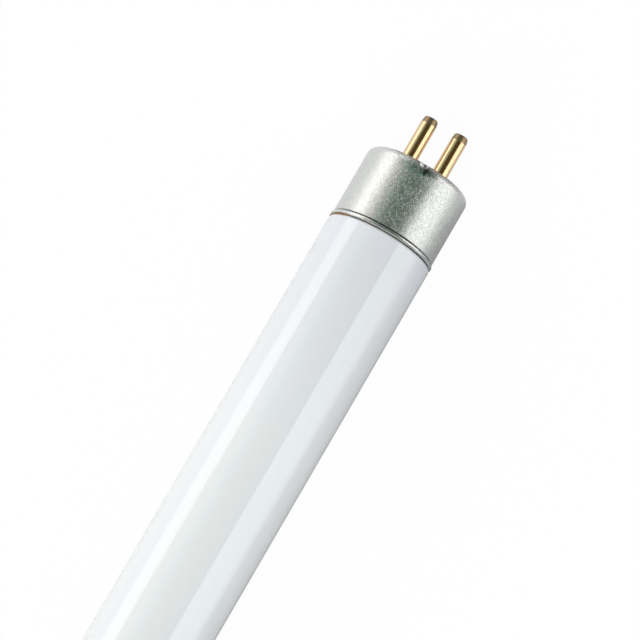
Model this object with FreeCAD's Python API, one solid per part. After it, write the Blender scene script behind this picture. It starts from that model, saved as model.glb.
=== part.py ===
import FreeCAD, Part
import math
import os
from FreeCAD import Vector

# A miniature fluorescent tube with a two-pin cap cemented on each end.
# The tube lies along X with the middle of its length at the origin, and +Z is up.
# End a points along +X and end b along -X. The pins of both ends lie in the XY plane.
# All sizes are in millimetres. A place along the tube, u, is counted from its middle
# towards end a, and r is a distance from the tube's axis.

# Whole tube
face_to_face = 287.5      # between the outer faces of the two caps
bulb_diameter = 15.7
glass_wall = 0.75

# Necked end of the glass, which goes into the cap
neck_drop = 1.05          # how far the neck lies inside the tube's radius
shoulder_slope = 70.0     # degrees between the shoulder and the axis
shoulder_round = 0.4      # convex bend from the tube into the shoulder
neck_round = 0.6          # concave bend from the shoulder into the neck
mouth_gap = 0.15          # between the glass shoulder and the mouth of the cap

# Stem that closes the glass and carries the leads
rim_width = 1.3           # glass ring between the neck and the flare
rim_round = 0.5
flare_depth = 6.0
flare_round = 2.5
seal_depth = 1.7          # solid glass where flare and neck are fused
seal_round = 0.25
stem_depth = 14.0         # from the glass end to the pinch
stem_round = 0.3
pinch_length = 4.0
pinch_round = 0.8
exhaust_diameter = 2.3
exhaust_bore = 1.1
exhaust_tip_wall = 0.9
exhaust_tip_round = 0.8

# Leads from the pinch through the pins
lead_diameter = 0.5
lead_gap = 0.5            # between a lead and the exhaust tube
stem_gap = 0.35           # between a lead and the bore of the stem
lead_straight = 3.0       # part of the stem's mouth in which the lead bends outwards
lead_bend_end = 0.5       # from the end of that bend to the glass end
lead_bend_radius = 2.0

# Drawn cap shell
cap_length = 11.3
shell_wall = 0.3
cement_gap = 0.6          # between the neck and the bore of the shell
cap_shoulder = 1.2        # outside radius between the cap's side and its face
bead_height = 0.58        # rolled lip round the mouth
bead_proud = 0.21
edge_round = 0.1
face_rim = 0.9            # flat part of the face, from the shoulder to the opening

# Stakes, punched into the shoulder to lock the insulator
stake_count = 2
stake_radius = 0.75
stake_depth = 0.4
stake_gap = 0.05

# Insulating plate behind the face
plate_thickness = 1.4
plate_gap = 0.02          # to the bore of the shell and to its opening

# Contact pins
pin_spacing = 4.75
pin_diameter = 2.3
pin_length = 7.5          # beyond the cap's face
pin_tip_round = 0.45
pin_bore = 1.3
pin_tip_length = 1.5      # crimped end, where the bore narrows to the lead
crimp_gap = 0.03
collar_rim = 0.35         # how far the collar stands out from the pin
collar_thickness = 0.25
collar_round = 0.1
tenon_diameter = 1.9      # turned down where the pin goes through the plate
tenon_gap = 0.02
rivet_rim = 0.55          # how far the head behind the plate is spread
rivet_thickness = 0.4

# Basing cement
cement_recess = 0.12      # from the mouth to the cement
cement_margin = 1.2       # from the cement to the glass end

glass_end_gap = 0.9       # between the glass end and the pins' rivet heads

# Places that follow from the sizes above
axis = Vector(1, 0, 0)
bulb_radius = bulb_diameter / 2
neck_radius = bulb_radius - neck_drop
shell_bore = neck_radius + cement_gap
cap_radius = shell_bore + shell_wall
bead_radius = cap_radius + bead_proud
opening_radius = cap_radius - cap_shoulder - face_rim

face = face_to_face / 2
mouth = face - cap_length
plate_front = face - shell_wall
plate_back = plate_front - plate_thickness
rivet_back = plate_back - rivet_thickness
glass_end = rivet_back - glass_end_gap
pin_tip = face + pin_length
pinch = glass_end - stem_depth

slope = math.tan(math.radians(shoulder_slope))
mouth_radius = shell_bore - mouth_gap
shoulder = mouth - (bulb_radius - mouth_radius) / slope
neck_start = mouth + (mouth_radius - neck_radius) / slope

exhaust_radius = exhaust_diameter / 2
lead_radius = lead_diameter / 2
lead_offset = exhaust_radius + lead_gap + lead_radius
stem_bore = lead_offset + lead_radius + stem_gap
stem_radius = stem_bore + glass_wall

pin_radius = pin_diameter / 2
tenon_radius = tenon_diameter / 2
collar_radius = pin_radius + collar_rim
rivet_radius = tenon_radius + rivet_rim


def unit(vector):
    """The vector's direction, one millimetre long."""
    return vector / vector.Length


def rounded_face(corners):
    """A closed flat face through corners (u, r, round), each bent with its own radius."""
    points = [Vector(u, r, 0) for u, r, _ in corners]
    bends = []
    for i, (_, _, bend) in enumerate(corners):
        corner = points[i]
        back = unit(points[i - 1] - corner)
        ahead = unit(points[(i + 1) % len(points)] - corner)
        if bend == 0:
            bends.append((corner, corner, corner))
            continue
        half_angle = back.getAngle(ahead) / 2
        reach = bend / math.tan(half_angle)
        middle = unit(back + ahead) * (bend / math.sin(half_angle) - bend)
        bends.append((corner + back * reach, corner + middle, corner + ahead * reach))
    edges = []
    for i, (start, middle, end) in enumerate(bends):
        if start != end:
            edges.append(Part.Arc(start, middle, end).toShape())
        following = bends[(i + 1) % len(bends)][0]
        edges.append(Part.LineSegment(end, following).toShape())
    return Part.Face(Part.Wire(edges))


def turned(corners, centre_y=0.0):
    """A solid of revolution about a line along X that passes through centre_y."""
    solid = rounded_face(corners).revolve(Vector(0, 0, 0), axis, 360)
    solid.translate(Vector(0, centre_y, 0))
    return solid


def both_ends(corners):
    """The corners of end a, in order from its axis to the middle, and the same for end b."""
    return corners + [(-u, r, bend) for u, r, bend in reversed(corners)]


def at_end_b(shape):
    """A copy of a piece of end a, turned half round about Z."""
    copy = shape.copy()
    copy.rotate(Vector(0, 0, 0), Vector(0, 0, 1), 180)
    return copy


def neck_corners():
    """The outline of end a from its neck over the shoulder to the tube."""
    return [
        (neck_start, neck_radius, neck_round),
        (shoulder, bulb_radius, shoulder_round),
    ]


def bulb_outside():
    """The bulb's outer form: tube, necks, rims, flares and the tipped-off exhaust tubes."""
    return turned(both_ends([
        (glass_end, 0, 0),
        (glass_end, exhaust_radius, exhaust_tip_round),
        (pinch, exhaust_radius, stem_round),
        (pinch, stem_bore, stem_round),
        (glass_end - flare_depth, stem_bore, flare_round),
        (glass_end, neck_radius - rim_width, rim_round),
        (glass_end, neck_radius, rim_round),
    ] + neck_corners()))


def gas_space():
    """The closed space inside the glass, with the bore of each exhaust tube."""
    wall_shift = glass_wall * math.tan(math.radians(shoulder_slope / 2))
    return turned(both_ends([
        (glass_end - exhaust_tip_wall, 0, 0),
        (glass_end - exhaust_tip_wall, exhaust_bore / 2, 0),
        (pinch - pinch_length, exhaust_bore / 2, 0),
        (pinch - pinch_length, stem_radius, pinch_round),
        (glass_end - flare_depth, stem_radius, flare_round),
        (glass_end - seal_depth, neck_radius - glass_wall, seal_round),
        (neck_start - wall_shift, neck_radius - glass_wall, neck_round),
        (shoulder - wall_shift, bulb_radius - glass_wall, shoulder_round),
    ]))


def bulb():
    """The sealed glass: one body of tube and two stems round a closed space."""
    return bulb_outside().cut(gas_space())


def cap_envelope():
    """The full outer form of the cap, with nothing hollowed out."""
    return turned([
        (mouth, 0, 0),
        (mouth, cap_radius, 0),
        (face, cap_radius, cap_shoulder),
        (face, 0, 0),
    ])


def stakes(radius):
    """A ball at each stake, centred where the punch ends, outside the cap's shoulder."""
    reach = cap_shoulder - stake_depth + stake_radius
    rise = cap_radius - cap_shoulder + reach * math.sin(math.pi / 4)
    along = face - cap_shoulder + reach * math.cos(math.pi / 4)
    balls = []
    for i in range(stake_count):
        ball = Part.makeSphere(radius, Vector(along, 0, rise))
        ball.rotate(Vector(0, 0, 0), axis, i * 360 / stake_count)
        balls.append(ball)
    return Part.makeCompound(balls)


def cap_shell():
    """A drawn aluminium cup with a rolled lip, an open face and stakes in its shoulder."""
    lip = bead_height / 2
    cup = turned([
        (mouth + lip, shell_bore, 0),
        (mouth + lip, cap_radius, 0),
        (face, cap_radius, cap_shoulder),
        (face, opening_radius, edge_round),
        (plate_front, opening_radius, edge_round),
        (plate_front, shell_bore, cap_shoulder - shell_wall),
    ])
    bead = Part.makeTorus(bead_radius - lip, lip, Vector(mouth + lip, 0, 0), axis)
    bore = Part.makeCylinder(shell_bore, bead_height, Vector(mouth, 0, 0), axis)
    bumps = stakes(stake_radius + shell_wall).common(cap_envelope())
    return cup.fuse([bead.cut(bore), bumps]).cut(stakes(stake_radius)).removeSplitter()


def insulator():
    """A moulded plate behind the face, with a boss that fills the opening."""
    plate = turned([
        (plate_back, 0, 0),
        (plate_back, shell_bore - plate_gap, edge_round),
        (plate_front, shell_bore - plate_gap, cap_shoulder - shell_wall),
        (plate_front, opening_radius - plate_gap, edge_round),
        (face, opening_radius - plate_gap, edge_round),
        (face, 0, 0),
    ])
    holes = [
        Part.makeCylinder(tenon_radius + tenon_gap, face - plate_back,
                          Vector(plate_back, side * pin_spacing / 2, 0), axis)
        for side in (1, -1)
    ]
    return plate.cut(holes).cut(stakes(stake_radius + shell_wall + stake_gap))


def pin(side):
    """A turned brass pin, riveted through the plate and crimped round its lead."""
    narrow_bore = lead_radius + crimp_gap
    crimp = pin_tip - pin_tip_length
    return turned([
        (rivet_back, pin_bore / 2, 0),
        (rivet_back, rivet_radius, collar_round),
        (plate_back, rivet_radius, collar_round),
        (plate_back, tenon_radius, 0),
        (face, tenon_radius, 0),
        (face, collar_radius, 0),
        (face + collar_thickness, collar_radius, collar_round),
        (face + collar_thickness, pin_radius, 0),
        (pin_tip, pin_radius, pin_tip_round),
        (pin_tip, narrow_bore, 0),
        (crimp, narrow_bore, 0),
        (crimp, pin_bore / 2, 0),
    ], side * pin_spacing / 2)


def lead_wire(side):
    """A round wire that leaves the pinch, bends outwards and runs through its pin."""
    inner_y = side * lead_offset
    outer_y = side * pin_spacing / 2
    bend_start = Vector(glass_end - lead_straight, inner_y, 0)
    bend_end = Vector(glass_end - lead_bend_end, outer_y, 0)
    start = Vector(pinch, inner_y, 0)
    end = Vector(pin_tip, outer_y, 0)
    turn = (bend_end - bend_start).getAngle(axis)
    reach = lead_bend_radius * math.tan(turn / 2)
    drop = lead_bend_radius / math.cos(turn / 2) - lead_bend_radius
    slant = unit(bend_end - bend_start)
    edges = []
    previous = start
    for corner, before, after in ((bend_start, axis, slant), (bend_end, slant, axis)):
        entry = corner - before * reach
        leaving = corner + after * reach
        edges.append(Part.LineSegment(previous, entry).toShape())
        edges.append(Part.Arc(entry, corner + unit(after - before) * drop, leaving).toShape())
        previous = leaving
    edges.append(Part.LineSegment(previous, end).toShape())
    section = Part.Wire(Part.Circle(start, axis, lead_radius).toShape())
    return Part.Wire(edges).makePipeShell([section], True, False)


def cement():
    """The cement that fills the space between the neck and the shell."""
    start = mouth + cement_recess
    depth = glass_end - cement_margin - start
    filling = Part.makeCylinder(shell_bore, depth, Vector(start, 0, 0), axis)
    filled_glass = turned(
        [(glass_end, 0, 0), (glass_end, neck_radius, 0)]
        + neck_corners()
        + [(0, bulb_radius, 0), (0, 0, 0)]
    )
    return filling.cut(filled_glass)


def save(name, shape):
    """Writes one sub-part, and stops if it isn't one sound solid."""
    if not shape.isValid() or len(shape.Solids) != 1:
        raise ValueError(name + " isn't one sound solid")
    shape.Solids[0].exportStep("parts/" + name + ".step")


def main():
    os.makedirs("parts", exist_ok=True)
    save("bulb", bulb())
    end_pieces = {
        "cap_shell_{}": cap_shell(),
        "insulator_{}": insulator(),
        "cement_ring_{}": cement(),
        "pin_{}1": pin(1),
        "pin_{}2": pin(-1),
        "lead_wire_{}1": lead_wire(1),
        "lead_wire_{}2": lead_wire(-1),
    }
    for name, shape in end_pieces.items():
        save(name.format("a"), shape)
        save(name.format("b"), at_end_b(shape))


main()
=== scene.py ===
import math

import bpy
import numpy as np
from bpy.props import FloatProperty, FloatVectorProperty, PointerProperty
from bpy.types import Operator, Panel, PropertyGroup
from mathutils import Matrix, Vector


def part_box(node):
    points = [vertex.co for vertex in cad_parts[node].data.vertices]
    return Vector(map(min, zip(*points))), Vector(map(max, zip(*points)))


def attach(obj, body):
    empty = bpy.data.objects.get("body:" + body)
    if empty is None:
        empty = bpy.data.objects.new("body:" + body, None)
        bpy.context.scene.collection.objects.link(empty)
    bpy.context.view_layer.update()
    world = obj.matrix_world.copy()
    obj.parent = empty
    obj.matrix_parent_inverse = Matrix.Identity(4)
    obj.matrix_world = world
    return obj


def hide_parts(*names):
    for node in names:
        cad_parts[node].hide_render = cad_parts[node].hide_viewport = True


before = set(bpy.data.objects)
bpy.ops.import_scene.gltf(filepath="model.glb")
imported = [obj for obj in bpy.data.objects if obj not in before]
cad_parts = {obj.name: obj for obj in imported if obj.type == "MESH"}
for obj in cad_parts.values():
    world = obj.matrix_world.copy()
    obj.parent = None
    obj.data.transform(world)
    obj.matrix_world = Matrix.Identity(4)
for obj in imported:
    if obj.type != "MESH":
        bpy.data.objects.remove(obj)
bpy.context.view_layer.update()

bl_info = {
    "name": "Fluorescent tube",
    "version": (1, 0, 0),
    "blender": (4, 5, 0),
    "location": "View3D > Sidebar > Tube",
    "description": "Dresses a two-pin fluorescent tube: glass, caps, pins, cement, leads",
    "category": "Object",
}

# The tube lies along X with its middle at the origin, +Z is up, and end a points along +X.
# An outline is a list of points (u, r): u along the tube and r from its axis. It runs
# clockwise, seen with u to the right and r up, so that every face points outwards.
MM = 0.001
PX = 1 / 640                     # one pixel of the picture, as a share of its width

glass_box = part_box("bulb")
shell_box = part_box("cap_shell_a")
plate_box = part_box("insulator_a")
cement_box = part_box("cement_ring_a")
pin_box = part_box("pin_a1")

ARC_STEPS = 16                   # faces on one bend of an outline
ENDS = {"a": 1, "b": -1}         # end b is end a, turned half round about Z
SIDES = {"1": 1, "2": -1}

# The drawing marks: turn, length in mm, and where in the noise they lie
MARKS = ((0.55, 1.0, 0.0), (-0.75, 0.8, 3.0), (1.35, 0.9, 7.0), (-0.1, 0.6, 11.0),
         (-1.2, 0.7, 17.0))
# Painted shade in and behind each stake's dent: back from it, to one side, length and width in
# mm, and darkness
STAKE_SHADES = ((0.75, 0.5, 0.8, 0.38, 0.85), (0.7, 1.4, 0.45, 1.2, 0.5))


def length(label, note, millimetres):
    """A size in the panel, written here in millimetres."""
    return FloatProperty(name=label, description=note, default=millimetres * MM,
                         unit="LENGTH", precision=5)


def turn_angle(label, note, degrees):
    """An angle in the panel, written here in degrees."""
    return FloatProperty(name=label, description=note, default=math.radians(degrees),
                         subtype="ANGLE")


def share(label, note, amount, most=1.0):
    """A plain number in the panel."""
    return FloatProperty(name=label, description=note, default=amount, min=0.0, max=most,
                         subtype="FACTOR", precision=3)


def paint(label, note, colour):
    """A colour in the panel, in linear light."""
    return FloatVectorProperty(name=label, description=note, default=colour, size=3,
                               min=0.0, max=1.0, subtype="COLOR")


class GlassSizes(PropertyGroup):
    bulb_radius: length("Tube radius", "Outside radius of the tube", glass_box[1].z / MM)
    glass_end: length("Glass end", "From the middle to the end of the neck",
                      glass_box[1].x / MM)
    neck_radius: length("Neck radius", "Outside radius of the glass inside the cap", 6.8)
    shoulder_slope: turn_angle("Shoulder slope", "Between the shoulder and the axis", 70)
    mouth_gap: length("Mouth gap", "From the shoulder to the mouth of the cap", 0.09)
    stem_bore: length("Stem bore", "Inside radius of the stem", 2.5)
    exhaust_radius: length("Exhaust tube radius", "Outside radius of the exhaust tube", 1.15)
    stem_depth: length("Stem depth", "From the glass end to the pinch", 14)
    flare_depth: length("Flare depth", "From the glass end to the narrow stem", 6)
    rim_width: length("Rim width", "Glass ring between the neck and the flare", 1.3)
    waviness: length("Waviness", "How far the drawn glass strays from a true round", 0.006)


class CapSizes(PropertyGroup):
    shell_bore: length("Bore", "Inside radius of the shell", 7.4)
    cap_radius: length("Radius", "Outside radius of the shell", 7.7)
    mouth: length("Mouth", "From the middle to the mouth of the cap",
                  shell_box[0].x / MM)
    face: length("Face", "From the middle to the face of the cap", shell_box[1].x / MM)
    shell_wall: length("Wall", "Thickness of the drawn shell", 0.3)
    shoulder_round: length("Shoulder", "Outside radius between side and face", 1.2)
    opening_radius: length("Opening", "Radius of the opening in the face", 5.6)
    lip_radius: length("Lip", "Radius of the rolled lip's section", 0.29)
    crease_depth: length("Crease", "Depth of the fold behind the rolled lip", 0.23)
    stake_radius: length("Stake radius", "Radius of the punch that staked the shoulder", 0.52)
    stake_shift: length("Stake shift", "How far a stake is from the upright plane", 0.12)
    stake_lean: turn_angle("Stake lean", "Between the punch and the upright", 45)
    stake_depth: length("Stake depth", "How deep the punch went", 0.58)
    cement_reach: length("Squeezed cement", "How far cement runs out beyond the mouth", 0.3)


class PinSizes(PropertyGroup):
    spacing: length("Spacing", "Between the two pins", 4.75)
    pin_radius: length("Pin radius", "Outside radius of a pin", 1.15)
    pin_tip: length("Tip", "From the middle to the tip of a pin", pin_box[1].x / MM)
    tip_length: length("Crimped tip", "Length of the narrowed tip", 1.0)
    tip_drop: length("Tip drop", "How much the crimped tip narrows", 0.17)
    tip_round: length("Tip round", "Radius at the edge of the tip", 0.3)
    collar_radius: length("Collar radius", "Radius of the collar on the plate", 1.5)
    collar_thickness: length("Collar", "Thickness of the collar", 0.25)
    tenon_radius: length("Tenon radius", "Radius of the pin inside the plate", 0.95)
    bore_radius: length("Bore", "Radius of the hollow inside a pin", 0.65)
    crimp_length: length("Crimp length", "Where the bore is closed on to the lead", 1.5)
    lead_radius: length("Lead radius", "Radius of a lead wire", 0.25)
    lead_offset: length("Lead offset", "From the axis to a lead in the stem", 1.9)


class Finishes(PropertyGroup):
    coat: paint("Tube coat", "Milky coat behind the glass", (0.745, 0.77, 0.79))
    coat_by_cap: paint("Coat by the cap", "The coat where it thins beside a cap",
                       (0.67, 0.69, 0.74))
    glass_gloss: share("Glass gloss", "Specular level of the glass", 0.8)
    aluminium: paint("Aluminium", "Colour of the caps", (0.56, 0.575, 0.565))
    brass: paint("Brass", "Colour of the pins", (0.82, 0.6, 0.36))
    tarnish: paint("Tarnish", "Colour of the crimped tips", (0.16, 0.11, 0.05))
    cement: paint("Basing cement", "Colour of the cement", (0.19, 0.11, 0.05))
    phenolic: paint("Plate", "Colour of the moulded plates", (0.20, 0.085, 0.035))
    nickel: paint("Lead wire", "Colour of the plated leads", (0.58, 0.55, 0.50))


class StudioSetup(PropertyGroup):
    camera_distance: length("Camera distance", "From the picture's middle", 1600)
    picture_width: length("Picture width", "What the picture spans at the tube", 87.67)
    tilt: turn_angle("Tilt", "How far the pins lean away from the camera", 12.6)
    lean: turn_angle("Lean", "How far the tube leans right of upright", 30.235)
    mouth_across: share("Mouth across", "Where the cap's mouth is, from the left", 381 * PX)
    mouth_down: share("Mouth down", "Where the cap's mouth is, from the top", 241 * PX)
    left_light: share("Left light", "Radiance of the low softbox at +Y", 1.68, 10)
    left_tint: paint("Left tint", "Colour of the softbox at +Y", (1.0, 0.945, 0.945))
    right_tint: paint("Right tint", "Colour of the softbox at -Y", (1.0, 0.895, 0.905))
    right_light: share("Right light", "Radiance of the higher softbox at -Y", 1.86, 10)
    key_light: share("Key light", "Radiance of the softbox above the tube", 3.5, 10)
    ceiling: paint("Ceiling", "Greenish light from above the caps, between the softboxes",
                   (0.0, 0.245, 0.16))
    overhead: paint("Overhead", "The narrow dark strip that the pins mirror",
                    (0.11, 0.045, 0.01))
    ceiling_aside: paint("Ceiling along the tube",
                         "Plain light from above the rest of the tube",
                         (0.13, 0.145, 0.135))
    ceiling_left: paint("Ceiling at the left", "Light from above towards +Y",
                        (0.72, 0.68, 0.62))
    left_wall: share("Left wall", "Radiance of the pale wall at +Y", 2.2, 3)
    right_wall: share("Right wall", "Radiance of the pale wall at -Y", 1.55, 3)
    far_wall: share("Far wall", "Radiance of the wall past end b", 0.6)
    floor_colour: paint("Floor", "Colour of the floor", (0.95, 0.95, 0.95))
    floor_shown: share("Floor to the camera", "Share of plain white that the camera sees", 0.96)
    # Painted light and shade on the floor for reflections: its white glow at each side, then
    # how much light it returns at each side
    left_painted_glow: share("Left reflections", "Share of plain white at +Y", 1.0)
    right_painted_glow: share("Right reflections", "Share of plain white at -Y", 0.28)
    left_painted_bounce: share("Left bounce", "Share of its light that the floor returns at +Y", 0.9)
    right_painted_bounce: share("Right bounce", "Share of its light that the floor returns at -Y", 0.25)


# Outlines and surfaces

def unit(vector):
    """The vector's direction, one long."""
    return vector / np.linalg.norm(vector)


def rounded(corners):
    """A closed outline through corners (u, r, bend).

    At each corner with a bend the outline follows an arc of that radius, from where it
    touches one run to where it touches the next: centre + a blend of the two end spokes by
    the sines of the angles left and gone. A short step on each side keeps flat runs flat.
    """
    places = np.array([corner[:2] for corner in corners])
    runs = []
    for i, (_, _, bend) in enumerate(corners):
        here = places[i]
        if bend == 0:
            runs.append(here[None])
            continue
        back = unit(places[i - 1] - here)
        ahead = unit(places[(i + 1) % len(places)] - here)
        half = math.acos(np.clip(back @ ahead, -1, 1)) / 2
        reach, sweep = bend / math.tan(half), math.pi - 2 * half
        centre = here + unit(back + ahead) * bend / math.sin(half)
        start, end = here + back * reach - centre, here + ahead * reach - centre
        gone = np.linspace(0, sweep, ARC_STEPS + 1)[:, None]
        arc = centre + (np.sin(sweep - gone) * start + np.sin(gone) * end) / math.sin(sweep)
        margin = bend / 8
        runs += [arc[:1] + back * margin, arc, arc[-1:] + ahead * margin]
    return np.vstack(runs)


def divided(outline, step):
    """The outline with its long runs cut into equal parts no longer than step."""
    lengths = np.linalg.norm(np.diff(outline, axis=0), axis=1)
    parts = np.maximum(np.ceil(lengths / step), 1).astype(int)
    run = np.repeat(np.arange(len(parts)), parts)
    first = np.repeat(np.cumsum(parts) - parts, parts)
    along = ((np.arange(len(run)) - first) / parts[run])[:, None]
    inner = outline[run] + along * (outline[run + 1] - outline[run])
    return np.vstack([inner, outline[-1:]])


def closed_divided(outline, step):
    """A closed outline, divided, also between its last point and its first."""
    return divided(np.vstack([outline, outline[:1]]), step)[:-1]


def turned(outline, around, gather=0.0):
    """Carries an outline round the X axis.

    x = u, y = r sin t, z = r cos t, with t from 0 to a full turn. Row i of the grid is
    the circle of the outline's point i. A share to gather draws the points together
    where the circle crosses +Z and -Z: t = a - gather / 2 sin 2 a, for even steps of a.
    """
    t = np.linspace(0, 2 * math.pi, around, endpoint=False)
    t = t - gather / 2 * np.sin(2 * t)
    u, r = outline[:, :1], outline[:, 1:]
    return np.stack([u + 0 * t, r * np.sin(t), r * np.cos(t)], axis=-1)


def skin(name, grid, ring, sharp=40):
    """A mesh object over a grid of points (row, place round the row, xyz).

    A ring joins its last row to its first. Otherwise the first and last rows are single
    points on the axis, and a fan of triangles closes each end.
    """
    rows, around = grid.shape[:2]
    index = np.arange(rows * around).reshape(rows, around)
    points = grid.reshape(-1, 3)
    fans = []
    if ring:
        upper = np.roll(index, -1, axis=0)
        lower = index
    else:
        points = np.vstack([points[:1], points[around:-around], points[-1:]])
        index = index[1:-1] - around + 1
        lower, upper = index[:-1], index[1:]
        first, last, tip = index[0], index[-1], len(points) - 1
        fans = np.vstack([
            np.stack([0 * first, first, np.roll(first, -1)], axis=-1),
            np.stack([0 * last + tip, np.roll(last, -1), last], axis=-1),
        ]).tolist()
    quads = np.stack([lower, upper, np.roll(upper, -1, axis=1), np.roll(lower, -1, axis=1)],
                     axis=-1).reshape(-1, 4)
    mesh = bpy.data.meshes.new(name)
    mesh.from_pydata(points.tolist(), [], quads.tolist() + fans)
    mesh.shade_smooth()
    mesh.set_sharp_from_angle(angle=math.radians(sharp))
    piece = bpy.data.objects.new(name, mesh)
    bpy.context.scene.collection.objects.link(piece)
    return piece


def finished(piece, material, slot, *nodes):
    """Gives a piece its material, the nodes it stands for and its body; slot is not used."""
    piece.data.materials.append(material)
    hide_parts(*nodes)
    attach(piece, "root")


def at_end(grid, end):
    """The grid of end a as it is, or turned half round about Z for end b."""
    return grid * np.array([ENDS[end], ENDS[end], 1])


def smooth_step(low, high, amount):
    """0 below low, 1 above high, and an easy curve between: t * t * (3 - 2 t)."""
    t = np.clip((amount - low) / (high - low), 0, 1)
    return t * t * (3 - 2 * t)


# Shader maths

class Number:
    """A socket that carries one number. An operator on it adds a Math node."""

    def __init__(self, nodes, socket):
        self.nodes = nodes
        self.socket = socket

    def __add__(self, other):
        return self.nodes.math("ADD", self, other)

    def __sub__(self, other):
        return self.nodes.math("SUBTRACT", self, other)

    def __rsub__(self, other):
        return self.nodes.math("SUBTRACT", other, self)

    def __mul__(self, other):
        return self.nodes.math("MULTIPLY", self, other)

    def __truediv__(self, other):
        return self.nodes.math("DIVIDE", self, other)

    def __abs__(self):
        return self.nodes.math("ABSOLUTE", self)

    __radd__ = __add__
    __rmul__ = __mul__

    def between(self, low, high):
        """0 at low, 1 at high and beyond, in a straight line between."""
        return self.nodes.math("MULTIPLY", self - low, 1 / (high - low), clamp=True)

    def eased(self, low, high):
        """0 below low, 1 above high, with an easy curve between."""
        return self.nodes.number("ShaderNodeMapRange", {"interpolation_type": "SMOOTHSTEP"},
                                 {"Value": self, "From Min": low, "From Max": high},
                                 "Result")


class Nodes:
    """The node tree of one material or world."""

    def __init__(self, owner):
        owner.use_nodes = True
        self.tree = owner.node_tree
        self.tree.nodes.clear()

    def add(self, kind, settings=None, sockets=None):
        """A node of that kind: its settings first, then the values or links of its sockets."""
        node = self.tree.nodes.new(kind)
        for name, value in (settings or {}).items():
            setattr(node, name, value)
        for name, value in (sockets or {}).items():
            socket = node.inputs[name]
            source = value.socket if isinstance(value, Number) else value
            if isinstance(source, bpy.types.NodeSocket):
                self.tree.links.new(source, socket)
            elif socket.type == "RGBA" and len(source) == 3:
                socket.default_value = (*source, 1)
            else:
                socket.default_value = source
        return node

    def number(self, kind, settings, sockets, output=0):
        """One output of a new node, as a number."""
        return Number(self, self.add(kind, settings, sockets).outputs[output])

    def math(self, operation, *values, clamp=False):
        """The result of a Math node on those values, in order."""
        return self.number("ShaderNodeMath", {"operation": operation, "use_clamp": clamp},
                           dict(enumerate(values)))

    def blend(self, factor, first, second):
        """A colour between first at factor 0 and second at factor 1."""
        return self.add("ShaderNodeMix", {"data_type": "RGBA"},
                        {0: factor, 6: first, 7: second}).outputs[2]

    def place(self):
        """The point on the piece, in metres."""
        return self.add("ShaderNodeTexCoord").outputs["Object"]

    def parts(self, vector):
        """The x, y and z of a vector."""
        split = self.add("ShaderNodeSeparateXYZ", {}, {0: vector})
        return [Number(self, output) for output in split.outputs]

    def joined(self, x, y, z):
        """A vector from three numbers."""
        return self.add("ShaderNodeCombineXYZ", {}, {0: x, 1: y, 2: z}).outputs[0]

    def noise(self, place, scale, detail, roughness=0.5):
        """Soft random spots, about one in every 1 / scale of a metre."""
        return self.number("ShaderNodeTexNoise", {},
                           {"Vector": place, "Scale": scale, "Detail": detail,
                            "Roughness": roughness}, "Fac")

    def stretched(self, place, size, turn):
        """The place turned and then divided by a size along each of its own axes."""
        return self.add("ShaderNodeMapping", {"vector_type": "TEXTURE"},
                        {"Vector": place, "Rotation": turn, "Scale": size}).outputs[0]

    def bump(self, height, depth):
        """A normal for a height from 0 to 1 that stands for that depth in metres."""
        return self.add("ShaderNodeBump", {}, {"Height": height, "Distance": depth,
                                               "Strength": 1.0}).outputs[0]

    def finish(self, sockets):
        """A Principled shader with those sockets, on the material's output."""
        shader = self.add("ShaderNodeBsdfPrincipled", {}, sockets)
        self.add("ShaderNodeOutputMaterial", {}, {"Surface": shader.outputs[0]})


def new_material(name):
    """An empty material and its nodes."""
    material = bpy.data.materials.new(name)
    return material, Nodes(material)


def opal_glass(finish):
    """Glossy glass over a milky coat that is a little greyer beside the caps."""
    material, nodes = new_material("opal_glass")
    place = nodes.place()
    x, _, _ = nodes.parts(place)
    by_cap = abs(x).between(0.100, 0.132)
    cloud = nodes.noise(place, 90, 2.0)
    tone = nodes.blend(by_cap, finish.coat, finish.coat_by_cap)
    tone = nodes.blend(cloud * 0.06, tone, (0.60, 0.64, 0.68))
    smudge = nodes.noise(place, 220, 4.0).eased(0.5, 0.8)
    nodes.finish({
        "Base Color": tone,
        "Roughness": 0.035 + 0.03 * smudge,
        "Specular IOR Level": finish.glass_gloss,
        "Normal": nodes.bump(nodes.noise(place, 160, 1.0), 0.004 * MM),
    })
    return material


def drawing_marks(nodes, wrapped):
    """Fine strokes over a flat place, in the turns of MARKS: 0 beside them and 1 on them.

    Each turn has a noise of its own, which is stretched along the stroke and cut off low.
    """
    strokes = None
    for turn, long, seed in MARKS:
        flat = nodes.add("ShaderNodeVectorMath", {"operation": "ADD"},
                         {0: wrapped, 1: (seed, seed, 0)}).outputs[0]
        thin = nodes.stretched(flat, (long * MM, 0.15 * MM, MM), (0, 0, turn))
        stroke = nodes.noise(thin, 1.0, 1.0).eased(0.6, 0.72)
        strokes = stroke if strokes is None else nodes.math("MAXIMUM", strokes, stroke)
    return strokes


def painted_fold_shade(cap, radius, u, y):
    """Painted shade: 1 deep in the fold behind the rolled lip and 0 elsewhere, fainter towards
    +Y and -Y.
    """
    deep = radius.between(cap.cap_radius - 0.03 * MM, cap.cap_radius - 0.1 * MM)
    outside = radius.between(cap.shell_bore, cap.shell_bore + 0.04 * MM)
    on_side = u.between(cap.face - 1.0 * MM, cap.face - 1.2 * MM)
    return deep * outside * on_side * (1 - 0.9 * abs(y).eased(2.0 * MM, 4.5 * MM))


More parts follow.
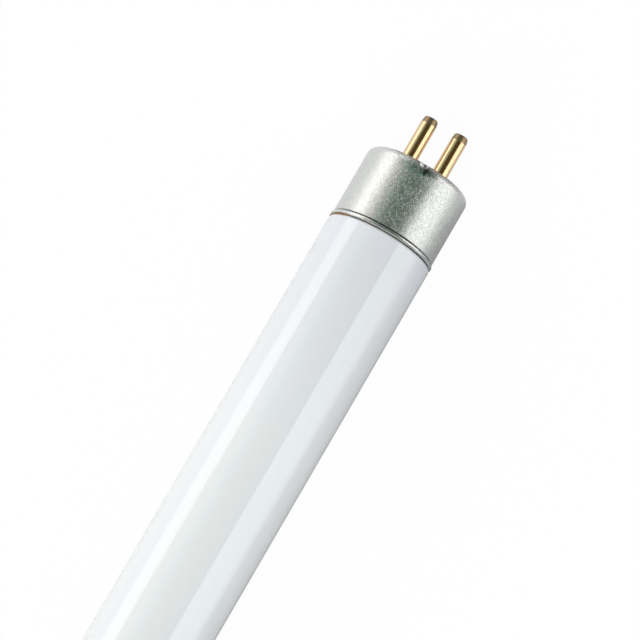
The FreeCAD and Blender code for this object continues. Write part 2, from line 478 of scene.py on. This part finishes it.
def stake_shaded(nodes, tone, cap, place):
    """The tone with painted shade in each stake's dent and behind it.

    Each patch of painted shade is an ellipse on the unrolled side: its reach is the root of
    (distance along / length) squared + (distance across / width) squared, and it fades out
    where that is 1.
    """
    x, y, z = place
    stake = cap.face - stake_inset(cap)
    sideways = y * nodes.math("SIGN", x) * nodes.math("SIGN", z)
    near = abs(z).between(0.6 * cap.cap_radius, 0.7 * cap.cap_radius)
    for back, aside, long, wide, dark in STAKE_SHADES:
        along = (abs(x) - (stake - back * MM)) / (long * MM)
        across = (sideways + aside * MM) / (wide * MM)
        reach = nodes.math("SQRT", along * along + across * across)
        cover = dark * near * (1 - reach.eased(0.6, 1.2))
        # Painted shade of a stake dent: the tone darkens towards near black
        tone = nodes.blend(cover, tone, (0.03, 0.04, 0.04))
    return tone


def brushed_aluminium(finish, cap):
    """Drawn aluminium: fine marks and dull patches, with painted shade in the fold behind the
    lip and by the stakes.

    The marks lie on the unrolled cap: across it by the angle times the cap's radius, and
    along it by the distance from the middle, counted on over the shoulder into the face.
    """
    material, nodes = new_material("cap_aluminium")
    place = nodes.place()
    x, y, z = nodes.parts(place)
    radius = nodes.math("SQRT", y * y + z * z)
    strokes = drawing_marks(nodes, nodes.joined(
        abs(x) + cap.cap_radius - radius, nodes.math("ARCTAN2", y, z) * cap.cap_radius, 0.0))
    pits = nodes.noise(place, 2600, 3.0, 0.6)
    patches = nodes.noise(place, 900, 3.0, 0.6)
    lip = 1 - abs(x).between(cap.mouth + 0.55 * MM, cap.mouth + 0.65 * MM)
    height = 0.25 * pits + 0.75 * patches + 0.3 * strokes
    tone = nodes.blend(strokes * 0.4 + patches * 0.12, finish.aluminium, (0.86, 0.87, 0.86))
    # Painted shade in the fold behind the lip: the tone turns nearly black there
    tone = nodes.blend(painted_fold_shade(cap, radius, abs(x), y) * 0.85, tone, (0.05, 0.06, 0.05))
    nodes.finish({
        "Base Color": stake_shaded(nodes, tone, cap, (x, y, z)),
        "Metallic": 0.95,
        "Roughness": 0.27 + 0.12 * patches + 0.2 * strokes - 0.12 * lip,
        "Normal": nodes.bump(height * (1 - 0.75 * lip), 0.03 * MM),
    })
    return material


def polished_brass(finish, sizes):
    """Drawn brass with fine lines along each pin, dull and dark on the crimped tip."""
    material, nodes = new_material("pin_brass")
    place = nodes.place()
    x, _, _ = nodes.parts(place)
    spots = nodes.noise(place, 1500, 3.0)
    ragged = abs(x) + (spots - 0.5) * (0.15 * MM)
    tip_start = sizes.pin_tip - sizes.tip_length
    crimp = ragged.eased(tip_start - 0.05 * MM, tip_start + 0.08 * MM)
    drawn = nodes.stretched(place, (6 * MM, 0.12 * MM, 0.12 * MM), (0, 0, 0))
    lines = nodes.noise(drawn, 1.0, 2.0)
    tone = nodes.blend(crimp * 0.8, finish.brass, finish.tarnish)
    tone = nodes.blend(spots * 0.3, tone, finish.tarnish)
    nodes.finish({
        "Base Color": tone,
        "Metallic": 1 - 0.25 * crimp,
        "Roughness": 0.14 + 0.08 * spots + 0.14 * crimp,
        "Normal": nodes.bump(lines + 0.3 * spots, 0.003 * MM),
    })
    return material


def grainy_cement(finish):
    """Baked basing cement: a sandy brown with pale and dark grains."""
    material, nodes = new_material("basing_cement")
    place = nodes.place()
    grains = nodes.noise(place, 7000, 3.0, 0.7)
    stains = nodes.noise(place, 600, 3.0)
    tone = nodes.blend(grains.eased(0.4, 0.7) * 0.4, finish.cement, (0.40, 0.28, 0.14))
    tone = nodes.blend(stains.eased(0.45, 0.7) * 0.45, tone, (0.17, 0.11, 0.06))
    nodes.finish({
        "Base Color": tone,
        "Roughness": 0.7 + 0.2 * grains,
        "Normal": nodes.bump(grains, 0.03 * MM),
    })
    return material


def moulded_phenolic(finish):
    """Brown moulding with short fibres pressed into it and a dull press skin."""
    material, nodes = new_material("brown_phenolic")
    place = nodes.place()
    fibres, crossed = [
        nodes.noise(nodes.stretched(place, size, (turn, 0, 0)), 1.0, 3.0, 0.6)
        for size, turn in (((MM, 0.9 * MM, 0.16 * MM), 0.6), ((MM, 0.16 * MM, 1.1 * MM), -0.4))
    ]
    grain = nodes.noise(place, 5200, 3.0, 0.6)
    web = nodes.math("MAXIMUM", fibres, crossed).eased(0.5, 0.75)
    tone = nodes.blend(web * 0.6, finish.phenolic, (0.36, 0.19, 0.09))
    tone = nodes.blend(grain.eased(0.5, 0.75) * 0.5, tone, (0.09, 0.04, 0.02))
    nodes.finish({
        "Base Color": tone,
        "Roughness": 0.42 + 0.25 * grain,
        "Normal": nodes.bump(0.5 * web + 0.5 * grain, 0.01 * MM),
    })
    return material


def plated_nickel(finish):
    """Dull nickel plate on the ends of the lead wires."""
    material, nodes = new_material("lead_nickel")
    place = nodes.place()
    spots = nodes.noise(place, 6000, 2.0)
    nodes.finish({
        "Base Color": nodes.blend(spots, finish.nickel, (0.42, 0.38, 0.32)),
        "Metallic": 1.0,
        "Roughness": 0.3 + 0.2 * spots,
        "Normal": nodes.bump(spots, 0.006 * MM),
    })
    return material


# Studio

def grey(amount):
    """A colour without a tint."""
    return (amount, amount, amount)


def flat_lamp(name, width, height, radiance):
    """A rectangular lamp that shines evenly: radiance x pi x its area is its power."""
    data = bpy.data.lights.new(name, "AREA")
    data.shape = "RECTANGLE"
    data.size, data.size_y = width, height
    data.energy = radiance * math.pi * width * height
    return data


def place_light(data, aim, outwards, distance, mirrored=True):
    """Sets a lamp at a distance from what it faces, out of the camera's sight.

    A lamp that isn't mirrored lights the pieces without a bright patch in them.
    """
    lamp = bpy.data.objects.new(data.name, data)
    lamp.location = aim + outwards * distance
    lamp.rotation_euler = outwards.to_track_quat("Z", "Y").to_euler()
    lamp.visible_camera = False
    lamp.visible_glossy = mirrored
    bpy.context.scene.collection.objects.link(lamp)


def soft_box(name, side, rise, span, middle, width, radiance, tint):
    """A lamp beside the tube, on the side 1 for +Y or -1 for -Y, that faces its axis.

    It stands rise degrees above the axis, seen from there, and spans span degrees, so its
    height is 2 x distance x tan(span / 2).
    """
    distance = 0.9
    rise, span = math.radians(rise), math.radians(span)
    data = flat_lamp(name, width, 2 * distance * math.tan(span / 2), radiance)
    data.color = tint
    outwards = Vector((0, side * math.cos(rise), math.sin(rise)))
    place_light(data, Vector((middle, 0, 0)), outwards, distance)


def set_camera(studio, mouth):
    """A long lens over the cap, so that the mouth's middle falls on its pixel."""
    tilt, lean = studio.tilt, studio.lean
    towards = Vector((-math.sin(tilt), 0, math.cos(tilt)))
    along = Vector((math.cos(tilt), 0, math.sin(tilt)))
    across = Vector((0, -1, 0))
    right = across * math.cos(lean) + along * math.sin(lean)
    up = along * math.cos(lean) - across * math.sin(lean)
    aim = (Vector((mouth, 0, 0))
           - right * (studio.mouth_across - 0.5) * studio.picture_width
           - up * (0.5 - studio.mouth_down) * studio.picture_width)
    data = bpy.data.cameras.new("camera")
    data.sensor_width = 36
    data.lens = data.sensor_width * studio.camera_distance / studio.picture_width
    data.clip_start, data.clip_end = 0.1, 30
    camera = bpy.data.objects.new("camera", data)
    camera.matrix_world = (Matrix.Translation(aim + towards * studio.camera_distance)
                           @ Matrix((right, up, towards)).transposed().to_4x4())
    bpy.context.scene.collection.objects.link(camera)
    bpy.context.scene.camera = camera


def pale_floor(studio):
    """The floor's material: plain white to the camera, with painted light and shade elsewhere.

    What the lamp mirrors of it is dark under the tube and turns white beside it, a painted
    glow, further out beside the glass at +Y. Past the caps both sides are whiter, and so is
    the ground under the pins, while the floor straight ahead of the caps stays dark, painted
    in the overhead colour. The light it returns is dimmer, and painted darker at -Y than at +Y.
    """
    material, nodes = new_material("floor")
    path = nodes.add("ShaderNodeLightPath")
    seen = Number(nodes, path.outputs["Is Camera Ray"])
    mirrored = nodes.math("MAXIMUM", Number(nodes, path.outputs["Is Glossy Ray"]),
                          Number(nodes, path.outputs["Is Transmission Ray"]))
    x, y, _ = nodes.parts(nodes.place())
    along, outwards = abs(x), abs(y)
    # Painted glow for glossy and transmission rays: white beside the tube, past the caps and
    # under the pins, none under the tube
    under, under_past, clear = 6 * MM, 8 * MM, 14 * MM
    by_glass = 5.5 * MM * (1 - along.between(132 * MM, 136 * MM))
    beside = (studio.left_painted_glow * (y - by_glass).between(under, clear)
              + studio.right_painted_glow * y.between(-under, -clear))
    beyond = y.between(under_past, clear) + 0.6 * y.between(-under_past, -clear)
    by_pins = along.between(145 * MM, 146.5 * MM) * along.between(157 * MM, 154 * MM)
    beyond = nodes.math("MAXIMUM", beyond, 0.8 * by_pins)
    past_cap = along.between(143 * MM, 150 * MM)
    white = studio.floor_shown * seen + mirrored * (beside + (beyond - beside) * past_cap)
    # Painted shade: the floor returns much less light at -Y than at +Y
    painted_return = nodes.blend(y.between(-10 * MM, 10 * MM), grey(studio.right_painted_bounce),
                           grey(studio.left_painted_bounce))
    # Painted shade: reflections straight ahead of the caps take the dark overhead colour
    ahead = ((along - 140 * MM) / (outwards + 10 * MM)).eased(0.5, 1.2)
    painted_return = nodes.blend(ahead * mirrored, painted_return, studio.overhead)
    colour = nodes.blend(seen, painted_return, studio.floor_colour)
    plain = nodes.add("ShaderNodeBsdfDiffuse", {}, {"Color": colour})
    glow = nodes.add("ShaderNodeEmission", {}, {"Color": (1, 1, 1), "Strength": 1.0})
    mixed = nodes.add("ShaderNodeMixShader", {},
                      {0: white, 1: plain.outputs[0], 2: glow.outputs[0]})
    nodes.add("ShaderNodeOutputMaterial", {}, {"Surface": mixed.outputs[0]})
    return material


def lay_floor(studio, height):
    """A wide flat grid of points: x and y in even steps, z the given height."""
    reach, count = 6.0, 3
    steps = np.linspace(-reach, reach, count)
    x, y = np.meshgrid(steps, steps)
    points = np.stack([x, y, 0 * x + height], axis=-1).reshape(-1, 3)
    index = np.arange(count * count).reshape(count, count)
    quads = np.stack([index[:-1, :-1], index[:-1, 1:], index[1:, 1:], index[1:, :-1]],
                     axis=-1).reshape(-1, 4)
    mesh = bpy.data.meshes.new("floor")
    mesh.from_pydata(points.tolist(), [], quads.tolist())
    mesh.materials.append(pale_floor(studio))
    floor = bpy.data.objects.new("floor", mesh)
    bpy.context.scene.collection.objects.link(floor)


def light_sky(studio):
    """The room by direction: x along the tube, y to the left of the view, and the rise.

    Pale walls stand to both sides and pass into the ceiling where they run along the tube.
    The ceiling is greenish where the caps mirror it to the camera and grey further along.
    A narrow brown strip crosses it overhead, it grows pale to the left, and a dim wall
    stands past end b. The camera sees plain white.
    """
    world = bpy.data.worlds.new("studio")
    bpy.context.scene.world = world
    nodes = Nodes(world)
    direction = nodes.add("ShaderNodeTexCoord").outputs["Generated"]
    x, y, rise = nodes.parts(direction)
    tint_x, strip_x, strip_y = 0.3, 0.22, -0.06
    tinted = nodes.blend(abs(x - tint_x).eased(0.17, 0.31), studio.ceiling,
                         studio.ceiling_aside)
    strip = nodes.math("MAXIMUM", abs(x - strip_x).eased(0.06, 0.14),
                       abs(y - strip_y).eased(0.4, 0.55))
    above = nodes.blend(strip, studio.overhead, tinted)
    above = nodes.blend(y.eased(0.35, 0.77), above, studio.ceiling_left)
    walls = nodes.blend(y.between(-0.3, 0.3), grey(studio.right_wall),
                        grey(studio.left_wall))
    walls = nodes.blend(abs(y).eased(0.35, 0.85), tinted, walls)
    colour = nodes.blend(rise.eased(0.16, 0.28), walls, above)
    colour = nodes.blend((-1 * x).eased(0.4, 0.8), colour, grey(studio.far_wall))
    seen = nodes.add("ShaderNodeLightPath").outputs["Is Camera Ray"]
    colour = nodes.blend(seen, colour, (1, 1, 1))
    sky = nodes.add("ShaderNodeBackground", {}, {"Color": colour, "Strength": 1.0})
    nodes.add("ShaderNodeOutputWorld", {}, {"Surface": sky.outputs[0]})


class TUBE_OT_set_studio(Operator):
    """Set the camera, the floor, the softboxes and the pale walls"""
    bl_idname = "tube.set_studio"
    bl_label = "Set studio"

    def execute(self, context):
        studio = context.scene.tube_studio
        seen_mouth = context.scene.tube_cap.mouth + 0.33 * MM
        set_camera(studio, seen_mouth)
        lay_floor(studio, shell_box[0].z)
        light_sky(studio)
        soft_box("left_box", side=1, rise=21.1, span=16.2, middle=0.9, width=2.2,
                 radiance=studio.left_light, tint=studio.left_tint)
        soft_box("right_box", side=-1, rise=33.75, span=43.5, middle=0.7, width=1.2,
                 radiance=studio.right_light, tint=studio.right_tint)
        key = flat_lamp("key_box", 2.0, 2.0, studio.key_light)
        place_light(key, aim=Vector((0.1, 0, 0)),
                    outwards=Vector((-0.77, 0.07, 0.63)).normalized(), distance=2.0,
                    mirrored=False)
        context.scene.view_settings.view_transform = "Standard"
        return {"FINISHED"}


# Glass

def glass_outline(glass, cap):
    """The outline of the whole bulb, from the axis at end b to the axis at end a.

    The shoulder is a cone that passes the cap's mouth at a small gap. Behind the neck the
    end turns in over its rim, flares inwards to the stem and comes back as the exhaust tube.
    """
    slope = math.tan(glass.shoulder_slope)
    near_mouth = cap.shell_bore - glass.mouth_gap
    shoulder = cap.mouth - (glass.bulb_radius - near_mouth) / slope
    neck_start = cap.mouth + (near_mouth - glass.neck_radius) / slope
    pinch = glass.glass_end - glass.stem_depth
    end = [
        (shoulder, glass.bulb_radius, 0.4 * MM),
        (neck_start, glass.neck_radius, 0.6 * MM),
        (glass.glass_end, glass.neck_radius, 0.5 * MM),
        (glass.glass_end, glass.neck_radius - glass.rim_width, 0.5 * MM),
        (glass.glass_end - glass.flare_depth, glass.stem_bore, 2.5 * MM),
        (pinch, glass.stem_bore, 0.3 * MM),
        (pinch, glass.exhaust_radius, 0.3 * MM),
        (glass.glass_end, glass.exhaust_radius, 0.8 * MM),
        (glass.glass_end, 0, 0),
    ]
    mirrored = [(-u, r, bend) for u, r, bend in reversed(end)]
    return divided(rounded(mirrored + end), 5 * MM)


class TUBE_OT_blow_glass(Operator):
    """Make the sealed bulb: tube, shoulders, necks and the two stems"""
    bl_idname = "tube.blow_glass"
    bl_label = "Blow glass"

    def execute(self, context):
        glass = context.scene.tube_glass
        grid = turned(glass_outline(glass, context.scene.tube_cap), 256)
        x = grid[..., :1] / glass.bulb_radius
        t = np.arctan2(grid[..., 1:2], grid[..., 2:])
        # The drawn wall strays by the mean of three slow sine waves of the angle t and of x,
        # which is counted in radii of the tube.
        stray = (np.sin(2 * t + 0.23 * x) + np.sin(3 * t - 0.37 * x + 1.0)
                 + np.sin(0.31 * x + 0.5 * np.sin(t))) / 3
        grid[..., 1:] *= 1 + stray * glass.waviness / glass.bulb_radius
        piece = skin("glass_bulb", grid, ring=False)
        finished(piece, opal_glass(context.scene.tube_finish), "opal_glass", "bulb")
        return {"FINISHED"}


# Caps

def stake_inset(cap):
    """From the cap's face, and from its side, to the middle of the shoulder's bend."""
    return cap.shoulder_round * (1 - math.sqrt(0.5))


def shell_outline(cap):
    """The section of the drawn cup: rolled lip, crease, side, shoulder, face and bore.

    The lip is an arc, from where it leaves the bore to the bottom of the crease:
    u = middle - lip radius x cos of the turn, r = middle + lip radius x sin of the turn.
    """
    proud = 0.21 * MM
    middle = np.array([cap.mouth + cap.lip_radius, cap.cap_radius + proud - cap.lip_radius])
    start = math.asin((cap.shell_bore - middle[1]) / cap.lip_radius)
    end = math.pi - math.asin((cap.cap_radius - cap.crease_depth - middle[1])
                              / cap.lip_radius)
    turn = np.linspace(start, end, 40)
    lip = middle + cap.lip_radius * np.stack([-np.cos(turn), np.sin(turn)], axis=-1)
    crease, floor = lip[-1]
    inner = cap.face - cap.shell_wall
    return rounded([(u, r, 0) for u, r in lip] + [
        (crease + 0.09 * MM, floor, 0.03 * MM),
        (crease + 0.22 * MM, cap.cap_radius, 0.11 * MM),
        (cap.face, cap.cap_radius, cap.shoulder_round),
        (cap.face, cap.opening_radius, 0.1 * MM),
        (inner, cap.opening_radius, 0.1 * MM),
        (inner, cap.shell_bore, cap.shoulder_round - cap.shell_wall),
    ])


def punched(grid, cap):
    """Pushes the shoulder in at two stakes.

    Each point near a stake moves along the punch, which leans back from the face. It moves
    by the depth of a ball, the root of radius squared - distance from the punch's line
    squared, and by a soft skirt round it, which falls off as e to the - distance squared.
    The dent is drawn out on one side, where distances along Y count for less, and it fades
    along the punch beyond the wall, so that the far side of the cap stays as it is.
    """
    inset = stake_inset(cap)
    drawn_out, skirt, skirt_reach = 0.6, 0.08 * MM, 0.95 * MM
    fade_start, fade = 0.8 * MM, 0.1 * MM
    for side in (1, -1):
        spot = np.array([cap.face - inset, 0, side * (cap.cap_radius - inset)])
        punch = np.array([-math.sin(cap.stake_lean), 0, -side * math.cos(cap.stake_lean)])
        offset = grid - spot
        depth = offset @ punch
        flat = offset - depth[..., None] * punch + np.array([0, cap.stake_shift * side, 0])
        flat[..., 1] *= np.where(flat[..., 1] * side > 0, drawn_out, 1.0)
        away = np.linalg.norm(flat, axis=-1)
        ball = np.sqrt(np.maximum(cap.stake_radius ** 2 - away ** 2, 0))
        push = np.maximum(ball - cap.stake_radius + cap.stake_depth, 0)
        push += skirt * np.exp(-(away / skirt_reach) ** 2)
        near = np.exp(-np.maximum(np.abs(depth) - fade_start, 0) / fade)
        grid = grid + (push * near)[..., None] * punch
    return grid


class TUBE_OT_draw_caps(Operator):
    """Make the two drawn aluminium caps with rolled lips and staked shoulders"""
    bl_idname = "tube.draw_caps"
    bl_label = "Draw caps"

    def execute(self, context):
        cap = context.scene.tube_cap
        material = brushed_aluminium(context.scene.tube_finish, cap)
        outline = closed_divided(shell_outline(cap), 0.35 * MM)
        grid = punched(turned(outline, 400, gather=0.7), cap)
        for end in ENDS:
            piece = skin("aluminium_cap_" + end, at_end(grid, end), ring=True)
            finished(piece, material, "cap_aluminium", "cap_shell_" + end)
        return {"FINISHED"}


def cement_grid(cap, glass):
    """The ring of cement: rows from the glass to the shell across its mouth, then its back.

    The angle t runs from +Z towards +Y. full(t) is 1 near +Y, where the cement ran out of
    the mouth, about half above, and 0 elsewhere, where it is sunk in. Every edge of the
    mouth goes from its sunk to its full place by that share, a + (b - a) x full, and the
    surface between them is crowned by 4 x share across x (1 - share across).
    """
    t = np.linspace(0, 2 * math.pi, 360, endpoint=False)
    full = smooth_step(0.55, 0.9, np.cos(t - math.radians(84)))
    closed = smooth_step(0.75, 0.95, np.cos(t))
    full = np.maximum(full, 0.5 * closed)
    wander = 0.02 * MM * (np.sin(7 * t + 1) + np.sin(13 * t) + np.sin(29 * t + 2))
    nearer = 0.5 + 0.5 * np.cos(t - math.radians(70))
    front = cement_box[0].x - 0.1 * MM * nearer + wander
    front = front + (cap.mouth + 0.03 * MM + wander - front) * closed
    inner_u = front + (cap.mouth - cap.cement_reach - front) * full
    inner_r = glass.neck_radius + (glass.bulb_radius - glass.neck_radius) * full
    outer_u = front + (cap.mouth + 0.02 * MM - front) * full
    outer_r = cap.shell_bore + (0.4 * MM + 0.5 * wander) * full
    across = np.linspace(0, 1, 9)[:, None]
    crown = 4 * across * (1 - across) * (0.05 * MM * full - 0.02 * MM * (1 - full))
    u = inner_u + across * (outer_u - inner_u) - crown * (1 - full)
    r = inner_r + across * (outer_r - inner_r) + crown * full
    back = cement_box[1].x
    hidden = [(cap.mouth + 0.14 * MM, cap.shell_bore), (back, cap.shell_bore),
              (back, glass.neck_radius), (cap.mouth + 0.3 * MM, glass.neck_radius)]
    u = np.vstack([u] + [np.full_like(t, place[0]) for place in hidden])
    r = np.vstack([r] + [np.full_like(t, place[1]) for place in hidden])
    return np.stack([u, r * np.sin(t), r * np.cos(t)], axis=-1)


class TUBE_OT_fill_cement(Operator):
    """Fill the caps with basing cement that has run out of the mouth on one side"""
    bl_idname = "tube.fill_cement"
    bl_label = "Fill cement"

    def execute(self, context):
        grid = cement_grid(context.scene.tube_cap, context.scene.tube_glass)
        material = grainy_cement(context.scene.tube_finish)
        for end in ENDS:
            piece = skin("basing_cement_" + end, at_end(grid, end), ring=True, sharp=60)
            finished(piece, material, "basing_cement", "cement_ring_" + end)
        return {"FINISHED"}


class TUBE_OT_mould_plates(Operator):
    """Give the moulded plates between shell and pins their finish"""
    bl_idname = "tube.mould_plates"
    bl_label = "Mould plates"

    def execute(self, context):
        material = moulded_phenolic(context.scene.tube_finish)
        for end in ENDS:
            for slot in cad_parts["insulator_" + end].material_slots:
                slot.material = material
        return {"FINISHED"}


# Pins and leads

def pin_outline(pins, face):
    """The section of a pin: rivet head, tenon, collar, body, crimped tip and bore."""
    plate_back = plate_box[0].x
    rivet = pin_box[0].x
    narrow = pins.lead_radius + 0.01 * MM
    crimp = pins.pin_tip - pins.tip_length
    return rounded([
        (rivet, pins.bore_radius, 0),
        (rivet, pins.collar_radius, 0.1 * MM),
        (plate_back, pins.collar_radius, 0.1 * MM),
        (plate_back, pins.tenon_radius, 0),
        (face, pins.tenon_radius, 0),
        (face, pins.collar_radius, 0),
        (face + pins.collar_thickness, pins.collar_radius, 0.1 * MM),
        (face + pins.collar_thickness, pins.pin_radius, 0.05 * MM),
        (crimp, pins.pin_radius, 0.6 * MM),
        (pins.pin_tip, pins.pin_radius - pins.tip_drop, pins.tip_round),
        (pins.pin_tip, narrow + 0.08 * MM, 0),
        (pins.pin_tip - 0.06 * MM, narrow, 0),
        (pins.pin_tip - pins.crimp_length, narrow, 0),
        (pins.pin_tip - pins.crimp_length, pins.bore_radius, 0),
    ])


class TUBE_OT_turn_pins(Operator):
    """Turn the four brass pins with their collars and crimped tips"""
    bl_idname = "tube.turn_pins"
    bl_label = "Turn pins"

    def execute(self, context):
        pins = context.scene.tube_pins
        material = polished_brass(context.scene.tube_finish, pins)
        outline = pin_outline(pins, context.scene.tube_cap.face)
        grid = turned(closed_divided(outline, MM), 128)
        for end in ENDS:
            for number, side in SIDES.items():
                moved = at_end(grid + np.array([0, side * pins.spacing / 2, 0]), end)
                piece = skin("brass_pin_" + end + number, moved, ring=True)
                finished(piece, material, "pin_brass", "pin_" + end + number)
        return {"FINISHED"}


def lead_path(pins, glass, side):
    """Points (x, y) of a lead: straight in the stem, bent out, and straight in the pin.

    In the bend y goes from its inner to its outer place by t x t x (3 - 2 t).
    """
    inner, outer = side * pins.lead_offset, side * pins.spacing / 2
    pinch, pin_end = glass.glass_end - glass.stem_depth, pins.pin_tip - 0.04 * MM
    bend_start, bend_end = glass.glass_end - 3.4 * MM, glass.glass_end - 0.1 * MM
    x = np.concatenate([
        np.linspace(pinch, bend_start - 0.1 * MM, 8),
        np.linspace(bend_start, bend_end, 24),
        np.linspace(bend_end + 0.1 * MM, pin_end, 12),
    ])
    y = inner + (outer - inner) * smooth_step(bend_start, bend_end, x)
    return np.stack([x, y], axis=-1)


def swept(path, radius, around):
    """A round wire along a path in the XY plane, with a domed end at each side.

    Each ring is the path's point + radius * (cos a across the path + sin a up), and the
    end rings shrink to a point as a flattened half circle.
    """
    along = np.gradient(path, axis=0)
    along /= np.linalg.norm(along, axis=1)[:, None]
    dome = np.array([1.0, 0.87, 0.5, 0.0])
    rise = 0.12 * radius * np.array([0.0, 0.35, 0.8, 1.0])
    points = np.vstack([path[0] - rise[::-1, None] * along[0], path[1:-1],
                        path[-1] + rise[:, None] * along[-1]])
    rings = len(dome)
    tangents = np.vstack([np.repeat(along[:1], rings, 0), along[1:-1],
                          np.repeat(along[-1:], rings, 0)])
    radii = radius * np.concatenate([dome[::-1], np.ones(len(path) - 2), dome])[:, None]
    a = np.linspace(0, 2 * math.pi, around, endpoint=False)
    across = np.stack([-tangents[:, 1], tangents[:, 0]], axis=-1)
    flat = points[:, None] + (radii * np.sin(a))[..., None] * across[:, None]
    return np.concatenate([flat, (radii * np.cos(a))[..., None]], axis=-1)


class TUBE_OT_thread_leads(Operator):
    """Thread the four lead wires from the pinch to the tips of the pins"""
    bl_idname = "tube.thread_leads"
    bl_label = "Thread leads"

    def execute(self, context):
        pins, glass = context.scene.tube_pins, context.scene.tube_glass
        material = plated_nickel(context.scene.tube_finish)
        for end in ENDS:
            for number, side in SIDES.items():
                grid = swept(lead_path(pins, glass, side), pins.lead_radius, 48)
                piece = skin("lead_" + end + number, at_end(grid, end), ring=False)
                finished(piece, material, "lead_nickel", "lead_wire_" + end + number)
        return {"FINISHED"}


GROUPS = {
    "tube_glass": GlassSizes,
    "tube_cap": CapSizes,
    "tube_pins": PinSizes,
    "tube_finish": Finishes,
    "tube_studio": StudioSetup,
}
STEPS = (
    TUBE_OT_set_studio,
    TUBE_OT_blow_glass,
    TUBE_OT_draw_caps,
    TUBE_OT_fill_cement,
    TUBE_OT_mould_plates,
    TUBE_OT_turn_pins,
    TUBE_OT_thread_leads,
)


class TUBE_PT_sidebar(Panel):
    """Sizes, colours and steps of the tube"""
    bl_idname = "TUBE_PT_sidebar"
    bl_label = "Fluorescent tube"
    bl_space_type = "VIEW_3D"
    bl_region_type = "UI"
    bl_category = "Tube"

    def draw(self, context):
        for group, kind in GROUPS.items():
            box = self.layout.box()
            for name in kind.__annotations__:
                box.prop(getattr(context.scene, group), name)
        for step in STEPS:
            self.layout.operator(step.bl_idname)


def register():
    """Adds the classes, and a group of values to the scene for each kind of piece."""
    for kind in (*GROUPS.values(), *STEPS, TUBE_PT_sidebar):
        bpy.utils.register_class(kind)
    for name, kind in GROUPS.items():
        setattr(bpy.types.Scene, name, PointerProperty(type=kind))


def unregister():
    """Takes away what register added, in the opposite order."""
    for name in GROUPS:
        delattr(bpy.types.Scene, name)
    for kind in (TUBE_PT_sidebar, *reversed(STEPS), *reversed(GROUPS.values())):
        bpy.utils.unregister_class(kind)


def main():
    """Registers the add-on and makes every piece in order."""
    register()
    bpy.ops.tube.set_studio()
    bpy.ops.tube.blow_glass()
    bpy.ops.tube.draw_caps()
    bpy.ops.tube.fill_cement()
    bpy.ops.tube.mould_plates()
    bpy.ops.tube.turn_pins()
    bpy.ops.tube.thread_leads()


if __name__ == "__main__":
    main()
